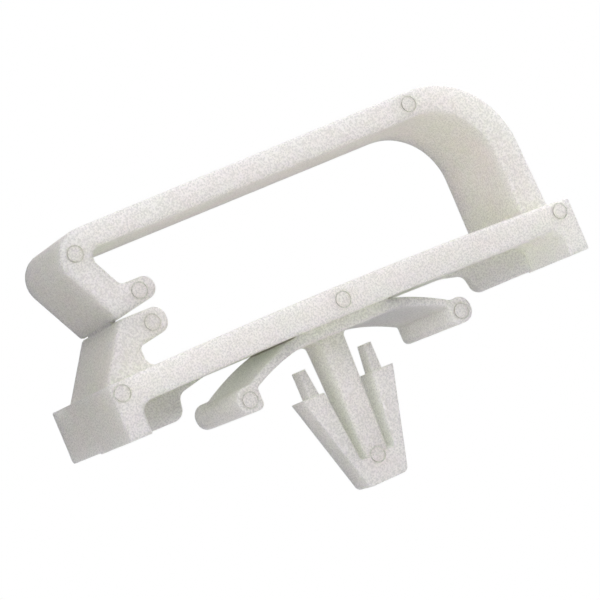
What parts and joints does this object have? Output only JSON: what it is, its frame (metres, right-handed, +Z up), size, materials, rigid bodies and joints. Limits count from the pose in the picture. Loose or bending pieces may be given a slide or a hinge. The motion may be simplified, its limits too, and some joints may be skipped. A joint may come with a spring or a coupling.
{
  "type": "cable clip",
  "caption": "Moulded snap-in clip: a long loop for flat cable that opens between its hooks, on a base bar with feet, spring wings and an arrowhead that locks in a panel hole.",
  "frame": {"origin": "on the post's axis in the plane of the two feet, where the post enters the panel", "axes": "+X along the base bar towards the loop's closed end, +Y through the depth, +Z up from the panel towards the loop"},
  "size_m": [0.0399, 0.014, 0.0263],
  "materials": {
    "natural_nylon": "natural nylon, off-white, slightly translucent, with a fine matt grain"
  },
  "bodies": {
    "root": {"cable_clip": "natural_nylon"}
  },
  "joints": []
}
